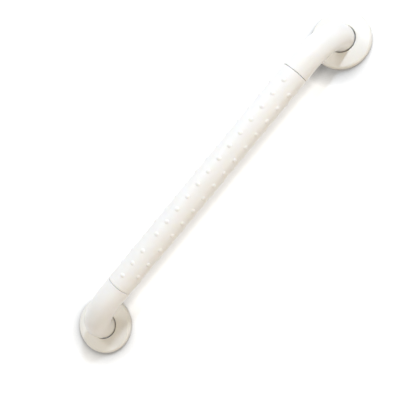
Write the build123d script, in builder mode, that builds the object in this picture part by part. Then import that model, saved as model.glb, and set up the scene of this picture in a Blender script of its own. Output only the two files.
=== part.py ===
# Bathroom grab bar: a dotted nylon grip sleeve on a steel core tube, held by a hollow nylon elbow at
# each end. Each elbow is screwed to a steel wall plate, and a domed cover snaps over the plate.
# The wall is the plane Z = 0 and Z points away from it. X runs along the bar, from the lower foot to
# the upper one, and the origin lies on the wall, midway between the two feet.

import os
from math import cos, radians, sin

from build123d import *

# Layout of the bar
foot_spacing = 500.0  # between the axes of the two feet
bend_radius = 62.0  # of each elbow's middle line
leg_length = 2.5  # straight part of an elbow, from the wall plate to the bend
lead_length = 14.0  # straight part of an elbow, from the bend to its end face
seam_gap = 0.6  # open joint between an elbow and the sleeve

# Grip sleeve
grip_diameter = 35.0
edge_break = 0.3  # chamfer on both edges of a seam
dot_diameter = 6.0
dot_rise = 1.2  # how far a dot's top stands above the grip
dot_pitch = 20.4
dot_margin = 16.0  # from the sleeve's upper end to the first dot's middle, and at least as much below
dot_rows = 6  # the first row faces straight away from the wall
dots_past_step = 3  # dots at the lower end, past the one wider step
step_extra = 7.5  # how much wider that step is

# Core tube
core_diameter = 25.0
core_wall = 1.5
core_clearance = 0.15  # around the tube in the sleeve and the elbows
core_end_gap = 1.0  # from the tube's end to the bottom of its socket

# Elbows
socket_depth = 28.0  # of the straight socket for the core tube, which ends inside the bend
hollow_diameter = 21.0  # of the moulded hollow that runs round the bend

# Wall plates
plate_thickness = 3.0
plate_edge_break = 0.4
wall_hole_diameter = 6.5
wall_hole_count = 3
wall_hole_edge = 4.75  # steel between a wall hole and the plate's edge

# Foot screws and the threaded inserts that they go into
foot_screw_count = 3
foot_screw_diameter = 5.0
foot_head_diameter = 9.4
foot_key_width = 3.0
foot_end_gap = 1.0  # from a screw's tip to the end of its insert
insert_diameter = 7.0
insert_length = 10.0
insert_wall = 3.0  # nylon between an insert and the outside of the leg
insert_roof = 4.0  # nylon between an insert and the hollow
thread_clearance = 0.1
head_clearance = 0.1

# Lock screws
lock_setback = 14.0  # from an elbow's end face to its lock screw
lock_recess = 0.8  # how far the head lies below the nylon
lock_tip = 2.0  # how far the tip stands inside the core tube
lock_screw_diameter = 4.0
lock_head_diameter = 7.6
lock_key_width = 2.5

# All screws
countersink = 90  # angle of the heads
key_share = 0.6  # depth of a key recess, as a share of its width

# Covers
cover_diameter = 78.0
cover_crown = 9.5  # height of the dome at the elbow
cover_edge = 6.5  # height at which the dome would meet the rim, before rounding
cover_bulge = 0.9  # how far the dome stands above a straight cone
cover_shoulder = 5.0  # rounding between rim and dome
cover_wall = 2.0
cover_clearance = 1.5  # open ring around the elbow's leg
cover_lip = 0.6  # rounding of the hole's upper edge
rib_count = 6  # ribs inside the rim that grip the plate
rib_width = 4.0
rib_depth = 0.9
rib_clearance = 0.1

# Sizes that follow
axis_height = plate_thickness + leg_length + bend_radius  # from the wall to the middle of the grip
seam_setback = bend_radius + lead_length  # from a foot's axis to its elbow's end face
grip_radius = grip_diameter / 2
dot_ball_radius = ((dot_diameter / 2) ** 2 + dot_rise**2) / (2 * dot_rise)
sleeve_length = foot_spacing - 2 * (seam_setback + seam_gap)
sleeve_bore = core_diameter + 2 * core_clearance
core_length = foot_spacing - 2 * (seam_setback - socket_depth + core_end_gap)
hollow_floor = plate_thickness + insert_length + insert_roof
plate_diameter = cover_diameter - 2 * (cover_wall + rib_depth + rib_clearance)
wall_hole_circle = plate_diameter - wall_hole_diameter - 2 * wall_hole_edge
foot_screw_circle = grip_diameter - insert_diameter - 2 * insert_wall
foot_screw_length = plate_thickness + insert_length - foot_end_gap
lock_height = axis_height - grip_radius + lock_recess  # from the wall to a lock screw's head
lock_screw_length = grip_radius - lock_recess - core_diameter / 2 + core_wall + lock_tip
cover_radius = cover_diameter / 2
cover_hole = grip_radius + cover_clearance
rib_height = cover_edge - cover_wall

os.makedirs("parts", exist_ok=True)


def keep(piece, name):
    piece.label = name
    export_step(piece, f"parts/{name}.step")


# Middles of the balls whose caps are the dots. Odd rows lie halfway between the dots of even ones.
def dot_centres():
    room = sleeve_length - 2 * dot_margin - step_extra
    count = int(room // dot_pitch) + 1
    main_row = []
    for index in range(count):
        step = step_extra if index >= count - dots_past_step else 0
        main_row.append(sleeve_length / 2 - dot_margin - index * dot_pitch - step)
    between_row = [(a + b) / 2 for a, b in zip(main_row, main_row[1:])]
    reach = grip_radius + dot_rise - dot_ball_radius
    centres = []
    for row in range(dot_rows):
        turn = radians(360 / dot_rows * row)
        for along in between_row if row % 2 else main_row:
            centres.append((along, reach * sin(turn), axis_height + reach * cos(turn)))
    return centres


# Countersunk screws on a circle: each head lies in the face, and its shank goes along the face's normal
def countersunk_screws(face, circle, count, diameter, head_diameter, length, key_width):
    with BuildPart() as screws:
        with BuildSketch(face):
            with PolarLocations(circle / 2, count):
                Circle(head_diameter / 2)
        extrude(amount=(head_diameter - diameter) / 2, taper=countersink / 2)
        with BuildSketch(face):
            with PolarLocations(circle / 2, count):
                Circle(diameter / 2)
        extrude(amount=length)
        with BuildSketch(face):
            with PolarLocations(circle / 2, count):
                RegularPolygon(key_width / 2, 6, major_radius=False)
        extrude(amount=key_share * key_width, mode=Mode.SUBTRACT)
    return screws.part


# Grip sleeve: a rod with the dots on it, and then its bore
sleeve_start = Plane((-sleeve_length / 2, 0, axis_height), z_dir=(1, 0, 0))
with BuildPart() as grip_sleeve:
    with BuildSketch(sleeve_start):
        Circle(grip_radius)
    extrude(amount=sleeve_length)
    chamfer(edges().filter_by(GeomType.CIRCLE), edge_break)
    with Locations(*dot_centres()):
        Sphere(dot_ball_radius)
    with BuildSketch(sleeve_start):
        Circle(sleeve_bore / 2)
    extrude(amount=sleeve_length, mode=Mode.SUBTRACT)
keep(grip_sleeve.part, "grip_sleeve")

# Core tube, with a hole at each end for the lock screw
core_start = Plane((-core_length / 2, 0, axis_height), z_dir=(1, 0, 0))
lock_reach = foot_spacing / 2 - seam_setback + lock_setback
with BuildPart() as core_tube:
    with BuildSketch(core_start):
        Circle(core_diameter / 2)
        Circle(core_diameter / 2 - core_wall, mode=Mode.SUBTRACT)
    extrude(amount=core_length)
    with BuildSketch(Plane.XY.offset(axis_height)):
        with Locations((lock_reach, 0), (-lock_reach, 0)):
            Circle(lock_screw_diameter / 2 + thread_clearance)
    extrude(amount=-core_diameter, mode=Mode.SUBTRACT)
keep(core_tube.part, "core_tube")

# Both ends: a foot's own X points along the bar to its middle, and its Z away from the wall
for end, side in (("upper", 1), ("lower", -1)):
    foot = Plane((side * foot_spacing / 2, 0, 0), x_dir=(-side, 0, 0), z_dir=(0, 0, 1))
    upright = Plane(foot.origin, x_dir=foot.x_dir, z_dir=-foot.y_dir)
    plate_front = foot.offset(plate_thickness)
    plate_back = Plane(foot.origin, x_dir=foot.x_dir, z_dir=-foot.z_dir)
    foot_axis = Axis(foot.origin, foot.z_dir)
    seam_face = Plane(foot.from_local_coords((seam_setback, 0, axis_height)), z_dir=-foot.x_dir)
    lock_place = foot.from_local_coords((seam_setback - lock_setback, 0, lock_height))

    # Middle line of the elbow, and its hollow, which stops above the solid foot
    with BuildLine(upright) as middle_line:
        FilletPolyline(
            (0, plate_thickness), (0, axis_height), (seam_setback, axis_height), radius=bend_radius
        )
    with BuildPart() as hollow:
        with BuildSketch(plate_front):
            Circle(hollow_diameter / 2)
        sweep(path=middle_line.line)
        split(bisect_by=foot.offset(hollow_floor), keep=Keep.TOP)

    # Elbow: a swept tube with the hollow, a socket for the core and pockets for the inserts
    with BuildPart() as elbow:
        with BuildSketch(plate_front):
            Circle(grip_radius)
        sweep(path=middle_line.line)
        chamfer(faces().sort_by(Axis(foot.origin, foot.x_dir))[-1].edges(), edge_break)
        add(hollow.part, mode=Mode.SUBTRACT)
        with BuildSketch(seam_face):
            Circle(core_diameter / 2 + core_clearance)
        extrude(amount=socket_depth, mode=Mode.SUBTRACT)
        with BuildSketch(plate_front):
            with PolarLocations(foot_screw_circle / 2, foot_screw_count):
                Circle(insert_diameter / 2)
        extrude(amount=insert_length, mode=Mode.SUBTRACT)
        with Locations(Plane(lock_place, z_dir=-foot.z_dir)):
            CounterSinkHole(
                lock_screw_diameter / 2 + thread_clearance,
                lock_head_diameter / 2 + head_clearance,
                depth=grip_radius - lock_recess,
                counter_sink_angle=countersink,
            )
    keep(elbow.part, f"{end}_elbow")

    # Lock screw, from the wall side of the elbow into the core tube
    lock_screw = countersunk_screws(
        Plane(lock_place, z_dir=foot.z_dir), 0, 1,
        lock_screw_diameter, lock_head_diameter, lock_screw_length, lock_key_width,
    )
    keep(lock_screw, f"{end}_lock_screw")

    # Wall plate: plain holes for the wall screws, and holes sunk from the back for the foot screws
    with BuildPart() as plate:
        with BuildSketch(foot):
            Circle(plate_diameter / 2)
        extrude(amount=plate_thickness)
        chamfer(edges(), plate_edge_break)
        with Locations(plate_front):
            with PolarLocations(wall_hole_circle / 2, wall_hole_count, start_angle=180):
                Hole(wall_hole_diameter / 2)
        with Locations(plate_back):
            with PolarLocations(foot_screw_circle / 2, foot_screw_count):
                CounterSinkHole(
                    foot_screw_diameter / 2 + thread_clearance,
                    foot_head_diameter / 2 + head_clearance,
                    counter_sink_angle=countersink,
                )
    keep(plate.part, f"{end}_plate")

    # Foot screws, flush with the back of the plate, and the brass inserts that they go into
    foot_screws = countersunk_screws(
        foot, foot_screw_circle, foot_screw_count,
        foot_screw_diameter, foot_head_diameter, foot_screw_length, foot_key_width,
    )
    keep(foot_screws, f"{end}_foot_screws")
    with BuildPart() as foot_inserts:
        with BuildSketch(plate_front):
            with PolarLocations(foot_screw_circle / 2, foot_screw_count):
                Circle(insert_diameter / 2)
                Circle(foot_screw_diameter / 2 + thread_clearance, mode=Mode.SUBTRACT)
        extrude(amount=insert_length)
    keep(foot_inserts.part, f"{end}_foot_inserts")

    # Cover: the outer form less the same form one wall further in, with ribs inside its rim
    with BuildPart() as cover:
        for inset, mode in ((0, Mode.ADD), (cover_wall, Mode.SUBTRACT)):
            with BuildSketch(upright):
                with BuildLine():
                    rim = Polyline(
                        (0, 0), (cover_radius - inset, 0), (cover_radius - inset, cover_edge - inset)
                    )
                    middle = ((cover_radius + cover_hole) / 2, (cover_edge + cover_crown) / 2)
                    dome = ThreePointArc(
                        rim @ 1,
                        (middle[0], middle[1] + cover_bulge - inset),
                        (cover_hole, cover_crown - inset),
                    )
                    Polyline(dome @ 1, (0, cover_crown - inset), rim @ 0)
                make_face()
                corner = vertices().group_by(Axis.X)[-1].sort_by(Axis.Y)[-1]
                fillet(corner, cover_shoulder - inset)
            revolve(axis=foot_axis, mode=mode)
        with BuildSketch(foot):
            Circle(cover_hole)
        extrude(amount=cover_crown, mode=Mode.SUBTRACT)
        fillet(edges().group_by(Axis.Z)[-1], cover_lip)
        with BuildSketch(foot):
            with PolarLocations(cover_radius - cover_wall, rib_count):
                Rectangle(2 * rib_depth, rib_width)
        extrude(amount=rib_height)
    keep(cover.part, f"{end}_cover")
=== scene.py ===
import math

import bmesh
import bpy
from mathutils import Matrix, Vector


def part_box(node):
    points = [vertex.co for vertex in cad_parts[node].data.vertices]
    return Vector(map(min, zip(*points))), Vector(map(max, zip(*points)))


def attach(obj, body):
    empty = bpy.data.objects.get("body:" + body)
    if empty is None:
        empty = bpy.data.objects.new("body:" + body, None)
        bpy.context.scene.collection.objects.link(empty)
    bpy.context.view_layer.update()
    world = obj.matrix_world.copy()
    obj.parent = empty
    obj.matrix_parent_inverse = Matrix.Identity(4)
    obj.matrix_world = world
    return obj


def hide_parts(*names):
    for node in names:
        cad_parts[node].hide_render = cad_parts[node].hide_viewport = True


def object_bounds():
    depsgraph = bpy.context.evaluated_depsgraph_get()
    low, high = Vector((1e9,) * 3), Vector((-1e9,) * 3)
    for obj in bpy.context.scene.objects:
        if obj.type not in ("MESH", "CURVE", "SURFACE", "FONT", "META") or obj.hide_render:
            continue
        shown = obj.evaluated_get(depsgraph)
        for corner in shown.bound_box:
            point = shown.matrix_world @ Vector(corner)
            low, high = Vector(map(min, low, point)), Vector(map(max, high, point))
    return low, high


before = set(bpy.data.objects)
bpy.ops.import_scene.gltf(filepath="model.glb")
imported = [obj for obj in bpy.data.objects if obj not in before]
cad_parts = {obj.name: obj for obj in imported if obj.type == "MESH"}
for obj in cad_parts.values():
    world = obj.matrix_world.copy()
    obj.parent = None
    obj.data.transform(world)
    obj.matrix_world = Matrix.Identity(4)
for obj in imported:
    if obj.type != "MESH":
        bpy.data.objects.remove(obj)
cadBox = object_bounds()
mm = 0.001  # the scene is in metres
print("frame loaded:", len(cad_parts), "nodes")


# sRGB hex to the linear values that the shaders take
def linear(hexColour):
    channels = [int(hexColour[i:i + 2], 16) / 255 for i in (1, 3, 5)]
    return [c / 12.92 if c <= 0.04045 else ((c + 0.055) / 1.055) ** 2.4 for c in channels] + [1.0]


# one node with its settings (sockets or properties) and its links; a Mix of colours has its two colours
# at sockets 6 and 7 and its result at output 2
def addNode(tree, kind, settings, links=None):
    node = tree.nodes.new("ShaderNode" + kind)
    for name, value in settings.items():
        if isinstance(name, int) or name in node.inputs:
            node.inputs[name].default_value = value
        else:
            setattr(node, name, value)
    for name, source in (links or {}).items():
        tree.links.new(source, node.inputs[name])
    return node


def newMaterial(name):
    material = bpy.data.materials.new(name)
    material.use_nodes = True
    material.node_tree.nodes.clear()
    return material, material.node_tree


# Polyamide grip, moulded in a spark-eroded tool: ivory white, with a fine grain that spreads the highlights
gripPolyamide = {
    "name": "polyamide_spark_eroded_satin",
    "pale": "#F5F4F1",
    "deep": "#F1EFEA",
    "cloudSize": 16 * mm,
    "grainSize": 0.9 * mm,  # the tool's own grain is near 0.1 mm, drawn coarser so that it shows
    "grainDepth": 0.012 * mm,
    "roughness": (0.40, 0.50),
    "ior": 1.53,
    "glow": 0.15,
    "glowDepth": 1.5 * mm,
}

# Polyamide elbows, from a polished tool: the same white, glossier, with slow waves where thick walls shrank
elbowPolyamide = {
    "name": "polyamide_polished_tool",
    "pale": "#F5F4F1",
    "deep": "#F1EFEA",
    "cloudSize": 30 * mm,
    "grainSize": 9 * mm,
    "grainDepth": 0.02 * mm,
    "roughness": (0.26, 0.34),
    "ior": 1.53,
    "glow": 0.15,
    "glowDepth": 1.5 * mm,
}

# ABS covers, thin and moulded fine: a little warmer and closer in gloss to a light switch
coverAbs = {
    "name": "abs_moulded_fine_matt",
    "pale": "#F4F2EC",
    "deep": "#F0EDE4",
    "cloudSize": 22 * mm,
    "grainSize": 1.2 * mm,
    "grainDepth": 0.008 * mm,
    "roughness": (0.32, 0.40),
    "ior": 1.54,
    "glow": 0.08,
    "glowDepth": 1.0 * mm,
}

cloudDetail = 3.0  # layers of ever finer noise in the clouds of colour
grainDetail = 2.0  # and in the grain
glowSpread = (1.0, 0.8, 0.5)  # red goes furthest under the skin of a white plastic, and blue least far


# white plastic: slow clouds of colour, a grain in gloss and relief, and a warm glow from just under the skin
def makeMouldedPlastic(values):
    material, tree = newMaterial(values["name"])
    place = addNode(tree, "TexCoord", {})
    cloud = addNode(tree, "TexNoise", {"Scale": 1 / values["cloudSize"], "Detail": cloudDetail},
                    {"Vector": place.outputs["Object"]})
    grain = addNode(tree, "TexNoise", {"Scale": 1 / values["grainSize"], "Detail": grainDetail},
                    {"Vector": place.outputs["Object"]})
    pale, deep = linear(values["pale"]), linear(values["deep"])
    colour = addNode(tree, "Mix", {"data_type": "RGBA", 6: pale, 7: deep}, {0: cloud.outputs["Fac"]})
    low, high = values["roughness"]
    gloss = addNode(tree, "MapRange", {"To Min": low, "To Max": high}, {"Value": grain.outputs["Fac"]})
    relief = addNode(tree, "Bump", {"Distance": values["grainDepth"]}, {"Height": grain.outputs["Fac"]})
    skin = addNode(tree, "BsdfPrincipled",
                   {"IOR": values["ior"], "Subsurface Weight": values["glow"],
                    "Subsurface Radius": glowSpread, "Subsurface Scale": values["glowDepth"]},
                   {"Base Color": colour.outputs[2], "Roughness": gloss.outputs["Result"],
                    "Normal": relief.outputs["Normal"]})
    addNode(tree, "OutputMaterial", {}, {"Surface": skin.outputs["BSDF"]})
    return material


# Drawn stainless core tube: fine bright lines along the bar
coreSteel = {
    "name": "stainless_steel_drawn",
    "pale": "#D2D0CC",
    "deep": "#B4B1AC",
    "lineSpacing": (60 * mm, 0.4 * mm, 0.4 * mm),
    "lineDepth": 0.006 * mm,
    "roughness": (0.22, 0.36),
}

# Cold-rolled wall plates, zinc plated: a cool grey with a soft rolled grain across the plate
plateSteel = {
    "name": "steel_rolled_zinc_plated",
    "pale": "#CFD2D4",
    "deep": "#AEB2B5",
    "lineSpacing": (12 * mm, 0.6 * mm, 3 * mm),
    "lineDepth": 0.008 * mm,
    "roughness": (0.32, 0.48),
}

# Turned screws, zinc plated and passivated: brighter, with a faint ring grain round the shank
screwSteel = {
    "name": "steel_turned_zinc_plated",
    "pale": "#D6D8D8",
    "deep": "#B9BCBF",
    "lineSpacing": (4 * mm, 4 * mm, 0.25 * mm),
    "lineDepth": 0.008 * mm,
    "roughness": (0.24, 0.38),
}

# Turned brass inserts: a warm yellow with tool rings along the axis
insertBrass = {
    "name": "brass_turned",
    "pale": "#D9B866",
    "deep": "#B8923F",
    "lineSpacing": (5 * mm, 5 * mm, 0.3 * mm),
    "lineDepth": 0.01 * mm,
    "roughness": (0.22, 0.36),
}

lineDetail = 4.0  # layers of ever finer noise in the lines


# worked metal: one noise, drawn out the way that the tool went, gives the lines in colour, gloss and relief
def makeWorkedMetal(values):
    material, tree = newMaterial(values["name"])
    place = addNode(tree, "TexCoord", {})
    drawn = addNode(tree, "Mapping", {"Scale": [1 / size for size in values["lineSpacing"]]},
                    {"Vector": place.outputs["Object"]})
    lines = addNode(tree, "TexNoise", {"Scale": 1.0, "Detail": lineDetail},
                    {"Vector": drawn.outputs["Vector"]})
    pale, deep = linear(values["pale"]), linear(values["deep"])
    colour = addNode(tree, "Mix", {"data_type": "RGBA", 6: pale, 7: deep}, {0: lines.outputs["Fac"]})
    low, high = values["roughness"]
    gloss = addNode(tree, "MapRange", {"To Min": low, "To Max": high}, {"Value": lines.outputs["Fac"]})
    relief = addNode(tree, "Bump", {"Distance": values["lineDepth"]}, {"Height": lines.outputs["Fac"]})
    metal = addNode(tree, "BsdfPrincipled", {"Metallic": 1.0},
                    {"Base Color": colour.outputs[2], "Roughness": gloss.outputs["Result"],
                     "Normal": relief.outputs["Normal"]})
    addNode(tree, "OutputMaterial", {}, {"Surface": metal.outputs["BSDF"]})
    return material


finishes = {
    "grip_nylon": makeMouldedPlastic(gripPolyamide),
    "elbow_nylon": makeMouldedPlastic(elbowPolyamide),
    "cover_plastic": makeMouldedPlastic(coverAbs),
    "core_steel": makeWorkedMetal(coreSteel),
    "plate_steel": makeWorkedMetal(plateSteel),
    "screw_steel": makeWorkedMetal(screwSteel),
    "insert_brass": makeWorkedMetal(insertBrass),
}
nodeFinish = {
    "sleeve": "grip_nylon", "elbow": "elbow_nylon", "cover": "cover_plastic", "tube": "core_steel",
    "plate": "plate_steel", "screw": "screw_steel", "screws": "screw_steel", "inserts": "insert_brass",
}
for name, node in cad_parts.items():
    for place in node.material_slots:
        place.material = finishes[nodeFinish[name.split("_")[-1]]]
print("finishes made:", ", ".join(finishes))


# adds rings of points to a mesh, with quads between neighbours and, if capped, a flat face at both ends
def skinRings(points, faces, rings, capped=False):
    first, count = len(points), len(rings[0])
    for ring in rings:
        here = len(points)
        points.extend(ring)
        if here > first:
            for j in range(count):
                k = (j + 1) % count
                faces.append((here - count + j, here - count + k, here + k, here + j))
    if capped:
        faces.append(range(first, first + count))
        faces.append(range(len(points) - count, len(points)))


weldDistance = 0.002 * mm  # points that are nearer than this are one
sharpAngle = 40  # degrees, from which an edge is not smoothed over


# a finished piece that stands for a CAD node
def standFor(node, points, faces, slot):
    mesh = bpy.data.meshes.new("fine_" + node)
    mesh.from_pydata(points, [], faces)
    work = bmesh.new()
    work.from_mesh(mesh)
    bmesh.ops.remove_doubles(work, verts=work.verts, dist=weldDistance)
    bmesh.ops.recalc_face_normals(work, faces=work.faces)
    work.to_mesh(mesh)
    work.free()
    mesh.shade_smooth()
    mesh.set_sharp_from_angle(angle=math.radians(sharpAngle))
    mesh.materials.append(finishes[slot])
    piece = bpy.data.objects.new("fine_" + node, mesh)
    bpy.context.scene.collection.objects.link(piece)
    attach(piece, "root")
    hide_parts(node)


# Grip sleeve: each dot runs out into the tube in a small round, and has its own patch of the mesh round it
gripSleeve = {
    "bore": 25.3 * mm,
    "endRound": 0.5 * mm,
    "dotDiameter": 6 * mm,
    "dotRise": 1.2 * mm,
    "dotFoot": 0.08 * mm,  # height over which a dot runs out
    "dotPitch": 20.4 * mm,
    "dotMargin": 16 * mm,  # from the upper end to the first dot, and at least as much at the lower end
    "dotRows": 6,
    "dotsPastStep": 3,  # dots at the lower end, past the one wider step
    "stepExtra": 7.5 * mm,  # how much wider that step is
    "meshStep": 1.5 * mm,  # along the edge of a patch
    "patchColumns": 12,  # round the tube, over one row of dots
    "dotRings": 7,
    "footRings": 3,
    "footSpread": 0.2,  # how far the foot's rings reach past the dot, as a share of its radius
    "patchShare": 0.45,  # place of the one ring between the foot and the patch's edge
    "roundRings": 4,
}


# the larger of two heights, with a rounded corner where they cross
def softMax(a, b, width):
    near = max(width - abs(a - b), 0)
    return max(a, b) + near * near / (4 * width)


# where the dots stand along the bar: the odd rows lie halfway between the dots of the even ones
def dotPlaces(values, low, high):
    room = high.x - low.x - 2 * values["dotMargin"] - values["stepExtra"]
    count = int(room // values["dotPitch"]) + 1
    evenRow = []
    for i in range(count):
        extra = values["stepExtra"] if i >= count - values["dotsPastStep"] else 0
        evenRow.append(high.x - values["dotMargin"] - i * values["dotPitch"] - extra)
    return evenRow, [(a + b) / 2 for a, b in zip(evenRow, evenRow[1:])]


def makeGripSleeve(values):
    low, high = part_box("grip_sleeve")
    axisHeight = (low.z + high.z) / 2
    rise, endRound, columns = values["dotRise"], values["endRound"], values["patchColumns"]
    radius = (high.z - low.z) / 2 - rise
    dotRadius = values["dotDiameter"] / 2
    ball = (dotRadius ** 2 + rise ** 2) / (2 * rise)
    ballHeight = radius + rise - ball  # of the ball's middle over the bar's axis
    sector = 2 * math.pi / values["dotRows"]
    evenRow, oddRow = dotPlaces(values, low, high)
    marks = sorted(evenRow + oddRow + [low.x + endRound, high.x - endRound])

    # a point of the tube or of the dot nearby
    def onSleeve(dot, row, along, turn):
        reach, angle = radius, row * sector + turn
        inBall = ball ** 2 - along ** 2 - (ballHeight * math.sin(turn)) ** 2
        if inBall > 0:
            reach = softMax(radius, ballHeight * math.cos(turn) + math.sqrt(inBall), values["dotFoot"])
        return dot + along, reach * math.sin(angle), axisHeight + reach * math.cos(angle)

    # the edge of a dot's patch, as distances along and turns from the dot
    def patchEdge(dot):
        mark, last = marks.index(dot), len(marks) - 1
        firstMark = 0 if mark <= 2 else mark - 1
        lastMark = last if mark >= last - 2 else mark + 1
        xs = [marks[firstMark] - dot]
        for a, b in zip(marks[firstMark:lastMark], marks[firstMark + 1:lastMark + 1]):
            steps = round((b - a) / values["meshStep"])
            xs += [a + (b - a) * (i + 1) / steps - dot for i in range(steps)]
        turns = [sector * (i / columns - 0.5) for i in range(columns + 1)]
        edge = [(x, turns[0]) for x in xs] + [(xs[-1], turn) for turn in turns[1:]]
        return edge + [(x, turns[-1]) for x in xs[-2::-1]] + [(xs[0], turn) for turn in turns[-2:0:-1]]

    points, faces = [], []
    shares = [1 - (1 - i / values["dotRings"]) ** 2 for i in range(values["dotRings"] + 1)]
    spread, footRings = values["footSpread"], values["footRings"]
    shares += [1 + spread * ((i + 1) / footRings) ** 2 for i in range(footRings)]
    for row in range(values["dotRows"]):
        for dot in oddRow if row % 2 else evenRow:
            edge = patchEdge(dot)
            circle = [dotRadius / math.hypot(along, radius * turn) for along, turn in edge]  # as shares
            ways = [[share * c for c in circle] for share in shares]
            ways.append([w + (1 - w) * values["patchShare"] for w in ways[-1]])
            ways.append([1.0] * len(edge))
            rings = []
            for way in ways:
                rings.append([onSleeve(dot, row, along * share, turn * share)
                              for (along, turn), share in zip(edge, way)])
            skinRings(points, faces, rings)

    # both rounded ends and the bore
    angles = [sector * (i / columns - 0.5) for i in range(columns * values["dotRows"])]

    def plainRing(x, reach):
        return [(x, reach * math.sin(angle), axisHeight + reach * math.cos(angle)) for angle in angles]

    quarter = [math.pi / 2 * i / values["roundRings"] for i in range(values["roundRings"] + 1)]
    bend = [(endRound * (1 - math.sin(t)), radius - endRound * (1 - math.cos(t))) for t in quarter]
    rings = [plainRing(high.x - inset, reach) for inset, reach in bend]
    rings += [plainRing(x, values["bore"] / 2) for x in (high.x, low.x)]
    rings += [plainRing(low.x + inset, reach) for inset, reach in bend[::-1]]
    skinRings(points, faces, rings)
    standFor("grip_sleeve", points, faces, "grip_nylon")


makeGripSleeve(gripSleeve)
print("grip sleeve made")

# Countersunk screws with a hexagon recess and a rolled thread: three in each foot, and one to lock the core
footScrew = {
    "diameter": 5 * mm,
    "head": 9.4 * mm,
    "length": 12 * mm,
    "key": 3 * mm,
    "pitch": 0.8 * mm,
}
footCircle = {"diameter": 22 * mm, "count": 3}
lockScrew = {
    "diameter": 4 * mm,
    "head": 7.6 * mm,
    "length": 7.7 * mm,
    "key": 2.5 * mm,
    "pitch": 0.7 * mm,
}
threadForm = {
    "depthShare": 0.55,  # thread depth, as a share of its pitch
    "crestShare": 0.2,  # flat on top of the thread, as a share of its pitch
    "stepsPerTurn": 10,
    "columns": 48,
    "keyDepthShare": 0.6,  # depth of a key recess, as a share of its width
    "tipChamfer": 0.5 * mm,
}
columnAngles = [2 * math.pi * i / threadForm["columns"] for i in range(threadForm["columns"])]


# 0 at the root of a thread and 1 on its crest
def threadRise(height, angle, pitch):
    share = (height / pitch - angle / (2 * math.pi)) % 1
    return min(1, abs(share - 0.5) * 2 / (1 - threadForm["crestShare"]))


# a ring round an upright axis, from the reach at each column
def ringAt(centre, height, reaches):
    return [(centre.x + reach * math.cos(angle), centre.y + reach * math.sin(angle), centre.z + height)
            for angle, reach in zip(columnAngles, reaches)]


def roundAt(centre, height, reach):
    return ringAt(centre, height, [reach] * len(columnAngles))


# one screw: its head lies flush at the place given, and its shank goes up from there
def addScrew(points, faces, centre, values):
    shank, head = values["diameter"] / 2, values["head"] / 2
    length, pitch = values["length"], values["pitch"]
    sixth, flat = math.pi / 3, values["key"] / 2
    hexagon = [flat / math.cos((angle + sixth / 2) % sixth - sixth / 2) for angle in columnAngles]
    neck = head - shank  # the countersink has a right angle
    keyDepth = threadForm["keyDepthShare"] * values["key"]
    rings = [ringAt(centre, keyDepth, hexagon), ringAt(centre, 0, hexagon),
             roundAt(centre, 0, head), roundAt(centre, neck, shank)]
    steps = round((length - neck) / pitch * threadForm["stepsPerTurn"])
    for i in range(1, steps + 1):
        height = neck + (length - neck) * i / steps
        depth = threadForm["depthShare"] * pitch * min(1, (height - neck) / pitch)  # it starts shallow
        tip = shank - max(0, height - (length - threadForm["tipChamfer"]))
        rings.append(ringAt(centre, height, [min(tip, shank - depth * (1 - threadRise(height, angle, pitch)))
                                             for angle in columnAngles]))
    skinRings(points, faces, rings, capped=True)


# Turned brass inserts: two knurled bands with a plain groove between, and a threaded bore
footInsert = {
    "diameter": 7 * mm,
    "bore": 5.2 * mm,
    "length": 10 * mm,
    "pitch": 0.8 * mm,
    "threadDepth": 0.25 * mm,
    "teeth": 16,
    "knurlDepth": 0.25 * mm,
    "groove": 1.6 * mm,
    "plainEdge": 0.5 * mm,
}


def addInsert(points, faces, centre, values):
    length, knurl, edge = values["length"], values["knurlDepth"], values["plainEdge"]
    outer, bore = values["diameter"] / 2, values["bore"] / 2
    toothed = [outer - knurl * (values["teeth"] * angle / (2 * math.pi) % 1) for angle in columnAngles]
    plain = [outer - knurl] * len(columnAngles)
    middle, half = length / 2, values["groove"] / 2
    rings = [ringAt(centre, 0, plain)]
    for bottom, top in ((edge, middle - half), (middle + half, length - edge)):
        rings += [ringAt(centre, bottom, plain), ringAt(centre, bottom + knurl, toothed),
                  ringAt(centre, top - knurl, toothed), ringAt(centre, top, plain)]
    rings.append(ringAt(centre, length, plain))
    steps = round(length / values["pitch"] * threadForm["stepsPerTurn"])
    for i in range(steps, -1, -1):
        height = length * i / steps
        depth = values["threadDepth"] * min(1, height / edge, (length - height) / edge)
        rings.append(ringAt(centre, height, [bore + depth * (1 - threadRise(height, angle, values["pitch"]))
                                             for angle in columnAngles]))
    rings.append(rings[0])
    skinRings(points, faces, rings)


# the fasteners of one foot
def makeFasteners(end):
    plateLow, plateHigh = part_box(end + "_plate")
    foot = (plateLow.x + plateHigh.x) / 2
    inward = math.copysign(footCircle["diameter"] / 2, -foot)  # the first screw is the inner one
    screws, inserts = ([], []), ([], [])
    for i in range(footCircle["count"]):
        angle = 2 * math.pi * i / footCircle["count"]
        place = Vector((foot + inward * math.cos(angle), inward * math.sin(angle), 0))
        addScrew(*screws, place + Vector((0, 0, plateLow.z)), footScrew)
        addInsert(*inserts, place + Vector((0, 0, plateHigh.z)), footInsert)
    standFor(end + "_foot_screws", *screws, "screw_steel")
    standFor(end + "_foot_inserts", *inserts, "insert_brass")
    lockLow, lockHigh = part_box(end + "_lock_screw")
    lock = ([], [])
    addScrew(*lock, Vector(((lockLow.x + lockHigh.x) / 2, 0, lockLow.z)), lockScrew)
    standFor(end + "_lock_screw", *lock, "screw_steel")


for end in ("upper", "lower"):
    makeFasteners(end)
print("screws and inserts made")


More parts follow.
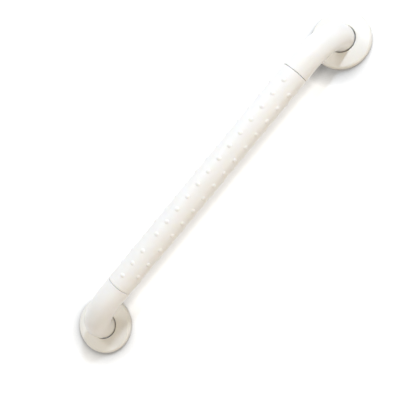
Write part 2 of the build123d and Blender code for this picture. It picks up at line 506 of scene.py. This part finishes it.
# 1 for what the camera sees, also in gloss and through glass, and 0 for the rays that carry light
def seenDirectly(tree):
    path = addNode(tree, "LightPath", {})
    seen = addNode(tree, "Math", {"operation": "MAXIMUM"},
                   {0: path.outputs["Is Camera Ray"], 1: path.outputs["Is Glossy Ray"]})
    return addNode(tree, "Math", {"operation": "MAXIMUM"},
                   {0: seen.outputs["Value"], 1: path.outputs["Is Transmission Ray"]})


# Floor: a matt sheet that is lit past white, as a photo table is, so that only deep shadows show on it; near
# the part, ambient occlusion also paints a soft shadow into its colour and its white
floorSheet = {
    "size": 8.0,  # metres across
    "drop": 0.2 * mm,  # below the feet, so that no faces share a plane
    "colour": "#E0E0DF",
    "spill": 0.5,  # share of its light that the sheet throws back at the object
    "tableGlow": 0.22,  # white that the table adds near the object
    "glowRange": (0.4, 1.0),  # from here to there it rises to full white, in metres from the middle
    # painted soft shadow: the next five values set how ambient occlusion darkens the sheet near the part
    "shadowReach": 50 * mm,
    "shadowSamples": 16,
    "shadowFull": 0.6,  # share of the open sky at which the soft shadow is full
    "shadowLevel": 0.36,  # light that is left there
    "shadowFrom": (0.9, 0.15, 1.0),  # middle of the light that the soft shadow keeps off
}


def makeFloor(values):
    material, tree = newMaterial("matt_white_paper")
    # painted soft shadow: ambient occlusion, leaning towards shadowFrom, darkens the paper's colour and the
    # camera's white near the part
    lean = addNode(tree, "VectorMath", {"operation": "NORMALIZE", 0: values["shadowFrom"]})
    clear = addNode(tree, "AmbientOcclusion",
                    {"samples": values["shadowSamples"], "Distance": values["shadowReach"]},
                    {"Normal": lean.outputs["Vector"]})
    level = addNode(tree, "MapRange", {"From Min": values["shadowFull"], "To Min": values["shadowLevel"]},
                    {"Value": clear.outputs["AO"]})
    direct = seenDirectly(tree)
    spill = addNode(tree, "MapRange", {"To Min": values["spill"]}, {"Value": direct.outputs["Value"]})
    thrown = addNode(tree, "Math", {"operation": "MULTIPLY"},
                     {0: level.outputs["Result"], 1: spill.outputs["Result"]})
    colour = addNode(tree, "Mix", {"data_type": "RGBA", 6: linear("#000000"), 7: linear(values["colour"])},
                     {0: thrown.outputs["Value"]})
    paper = addNode(tree, "BsdfDiffuse", {}, {"Color": colour.outputs[2]})
    place = addNode(tree, "TexCoord", {})
    away = addNode(tree, "VectorMath", {"operation": "LENGTH"}, {0: place.outputs["Object"]})
    near, far = values["glowRange"]
    glow = addNode(tree, "MapRange", {"From Min": near, "From Max": far, "To Min": values["tableGlow"]},
                   {"Value": away.outputs["Value"]})
    shaded = addNode(tree, "Math", {"operation": "MULTIPLY"},
                     {0: glow.outputs["Result"], 1: level.outputs["Result"]})
    seen = addNode(tree, "Math", {"operation": "MULTIPLY"},
                   {0: direct.outputs["Value"], 1: shaded.outputs["Value"]})
    white = addNode(tree, "Emission", {}, {"Strength": seen.outputs["Value"]})
    both = addNode(tree, "AddShader", {}, {0: paper.outputs["BSDF"], 1: white.outputs["Emission"]})
    addNode(tree, "OutputMaterial", {}, {"Surface": both.outputs["Shader"]})
    half, height = values["size"] / 2, cadBox[0].z - values["drop"]
    mesh = bpy.data.meshes.new("floor")
    corners = ((-half, -half), (half, -half), (half, half), (-half, half))
    mesh.from_pydata([(x, y, height) for x, y in corners], [], [(0, 1, 2, 3)])
    mesh.materials.append(material)
    floor = bpy.data.objects.new("floor", mesh)
    bpy.context.scene.collection.objects.link(floor)
    return floor


floor = makeFloor(floorSheet)


# a point on a sphere round the target, with a turn that looks back at it; azimuth 0 looks along +Y
def lookFrom(target, azimuth, elevation, distance):
    a, e = math.radians(azimuth), math.radians(elevation)
    outward = Vector((math.sin(a) * math.cos(e), -math.cos(a) * math.cos(e), math.sin(e)))
    turn = (-outward).to_track_quat("-Z", "Y").to_matrix().to_4x4()
    return Matrix.Translation(Vector(target) + outward * distance) @ turn


# Camera: the photo's own viewpoint, rolled and framed so that both feet land where the photo has them
cameraValues = {
    "target": (-26.4 * mm, 1 * mm, 30 * mm),
    "azimuth": 24.5,
    "elevation": 71.7,
    "distance": 878 * mm,
    "roll": -73.8,
    "lens": 60.1,  # in millimetres, as the sensor's width is
    "sensor": 36.0,
}


def makeCamera(values):
    data = bpy.data.cameras.new("camera")
    data.sensor_width = values["sensor"]
    data.lens = values["lens"]
    camera = bpy.data.objects.new("camera", data)
    look = lookFrom(values["target"], values["azimuth"], values["elevation"], values["distance"])
    camera.matrix_world = look @ Matrix.Rotation(math.radians(values["roll"]), 4, "Z")
    bpy.context.scene.collection.objects.link(camera)
    bpy.context.scene.camera = camera


makeCamera(cameraValues)

# Light: a cool lamp from the picture's top, weaker ones from its left and right, one near the camera
# that lights the sheet alone, and a room that is dim overhead. Angles are in degrees, sizes and the
# distance in metres, and powers in watts.
studioLight = {
    "keyAzimuth": 100,
    "keyElevation": 50,
    "keySize": 0.18,
    "keyPower": 15.8,
    "keyColour": "#DEECFF",
    "leftAzimuth": 182,
    "leftElevation": 52,
    "leftSize": 0.6,
    "leftPower": 7.1,
    "leftColour": "#FFFFFF",
    "rightAzimuth": 0,
    "rightElevation": 23,
    "rightSize": 0.4,
    "rightPower": 4.8,
    "rightColour": "#FFEED8",
    "tableAzimuth": 24,
    "tableElevation": 80,
    "tableSize": 0.32,
    "tablePower": 15.0,
    "tableColour": "#FFFFFF",
    "lampDistance": 1.8,
    "roomEdge": 0.8,  # strength at the horizon
    "roomTop": 0.42,  # strength overhead
    "coolSide": (0.0, 1.0, 0.0),  # where the room is least warm
    "roomCool": "#FAFCFF",
    "roomWarm": "#FFF0DA",
}


# a round lamp that looks at the middle of the part; where onlyOn names an object, it lights that alone
def addLamp(values, name, onlyOn=None):
    data = bpy.data.lights.new(name, "AREA")
    data.shape = "DISK"
    data.size = values[name + "Size"]
    data.energy = values[name + "Power"]
    data.color = linear(values[name + "Colour"])[:3]
    lamp = bpy.data.objects.new(name, data)
    azimuth, elevation = values[name + "Azimuth"], values[name + "Elevation"]
    lamp.matrix_world = lookFrom((0, 0, 0), azimuth, elevation, values["lampDistance"])
    lamp.visible_camera = False
    bpy.context.scene.collection.objects.link(lamp)
    if onlyOn:
        lit = bpy.data.collections.new("lit_by_" + name)
        lit.objects.link(onlyOn)
        lamp.light_linking.receiver_collection = lit


def makeLight(values):
    for name in ("key", "left", "right"):
        addLamp(values, name)
    addLamp(values, "table", onlyOn=floor)
    world = bpy.data.worlds.new("room")
    world.use_nodes = True
    tree = world.node_tree
    tree.nodes.clear()
    place = addNode(tree, "TexCoord", {})
    height = addNode(tree, "SeparateXYZ", {}, {0: place.outputs["Generated"]})
    level = addNode(tree, "MapRange", {"To Min": values["roomEdge"], "To Max": values["roomTop"]},
                    {"Value": height.outputs["Z"]})
    coolSide = Vector(values["coolSide"]).normalized()
    towards = addNode(tree, "VectorMath", {"operation": "DOT_PRODUCT", 1: coolSide},
                      {0: place.outputs["Generated"]})
    side = addNode(tree, "MapRange", {"From Min": -1.0}, {"Value": towards.outputs["Value"]})
    warm, cool = linear(values["roomWarm"]), linear(values["roomCool"])
    tint = addNode(tree, "Mix", {"data_type": "RGBA", 6: warm, 7: cool}, {0: side.outputs["Result"]})
    room = addNode(tree, "Background", {}, {"Color": tint.outputs[2], "Strength": level.outputs["Result"]})
    white = addNode(tree, "Background", {"Color": linear("#FFFFFF"), "Strength": 1.0})
    both = addNode(tree, "MixShader", {},
                   {0: seenDirectly(tree).outputs["Value"], 1: room.outputs["Background"],
                    2: white.outputs["Background"]})
    addNode(tree, "OutputWorld", {}, {"Surface": both.outputs["Shader"]})
    bpy.context.scene.world = world


makeLight(studioLight)
bpy.context.scene.view_settings.view_transform = "Standard"
print("floor, camera and light set")
